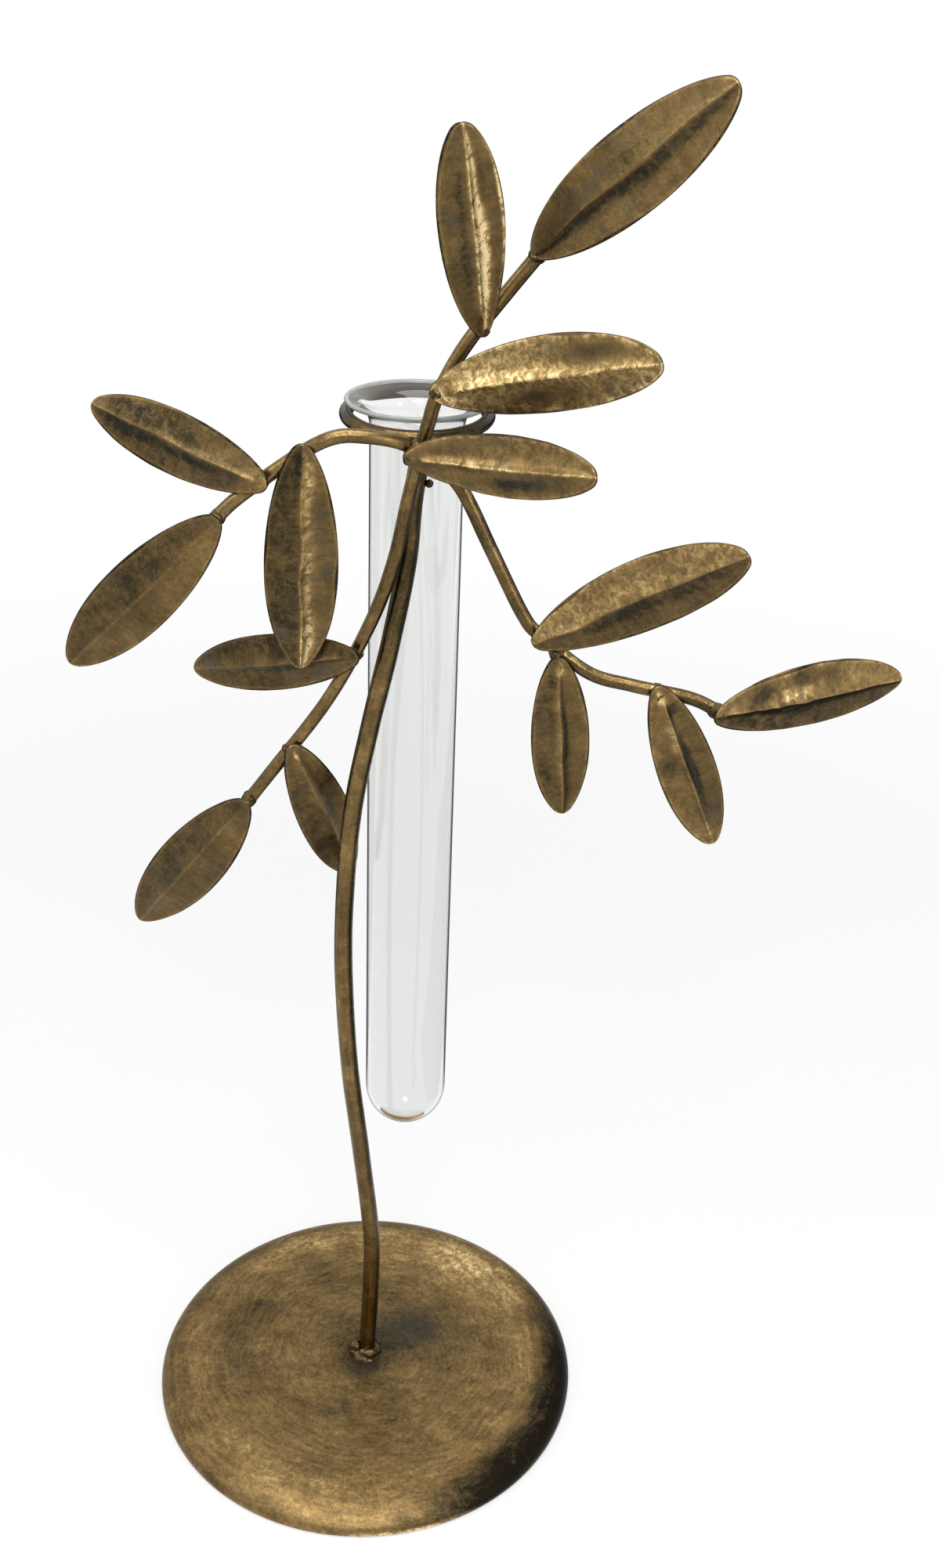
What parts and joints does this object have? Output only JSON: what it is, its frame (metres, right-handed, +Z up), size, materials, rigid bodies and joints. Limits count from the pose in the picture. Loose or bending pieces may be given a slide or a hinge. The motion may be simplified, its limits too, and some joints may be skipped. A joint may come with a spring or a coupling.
{
  "type": "metal tube vase",
  "caption": "Leafy metal branch stand on a round pressed foot; a wire ring holds a clear glass test tube that lifts out, for cut flowers.",
  "frame": {"origin": "centre of the foot, on the surface that the vase stands on", "axes": "+Z up; -Y is the front, where the leaves face; +X to the right seen from the front"},
  "size_m": [0.2005, 0.119, 0.3591],
  "materials": {
    "aged_brass": "antique, mottled and brushed",
    "weld_brass": "rough frozen bead",
    "clear_glass": "polished, clear",
    "dark_felt": "felt"
  },
  "bodies": {
    "stand": {"base_dish": "aged_brass", "felt_pad": "dark_felt", "main_stem": "aged_brass", "spray_rod": "aged_brass", "upper_left_branch": "aged_brass", "right_branch": "aged_brass", "tube_ring": "aged_brass", "leaf_top_end": "aged_brass", "leaf_top_left": "aged_brass", "leaf_top_right": "aged_brass", "leaf_middle": "aged_brass", "leaf_left_hanging": "aged_brass", "leaf_left_upper": "aged_brass", "leaf_left_end": "aged_brass", "leaf_low_upper": "aged_brass", "leaf_low_inner": "aged_brass", "leaf_low_end": "aged_brass", "leaf_right_upper": "aged_brass", "leaf_right_inner": "aged_brass", "leaf_right_hanging": "aged_brass", "leaf_right_end": "aged_brass", "foot_weld": "weld_brass", "ring_weld": "weld_brass", "junction_weld": "weld_brass", "weld_top_end": "weld_brass", "weld_top_left": "weld_brass", "weld_top_right": "weld_brass", "weld_left_hanging": "weld_brass", "weld_left_upper": "weld_brass", "weld_left_end": "weld_brass", "weld_low_upper": "weld_brass", "weld_low_inner": "weld_brass", "weld_low_end": "weld_brass", "weld_right_upper": "weld_brass", "weld_right_inner": "weld_brass", "weld_right_hanging": "weld_brass", "weld_right_end": "weld_brass", "weld_drip": "weld_brass"},
    "tube": {"glass_tube": "clear_glass"}
  },
  "joints": [
    {"name": "tube_lift", "type": "slide", "parent": "stand", "child": "tube", "axis": [0, 0, 1], "range_m": [0, 0.207]}
  ]
}
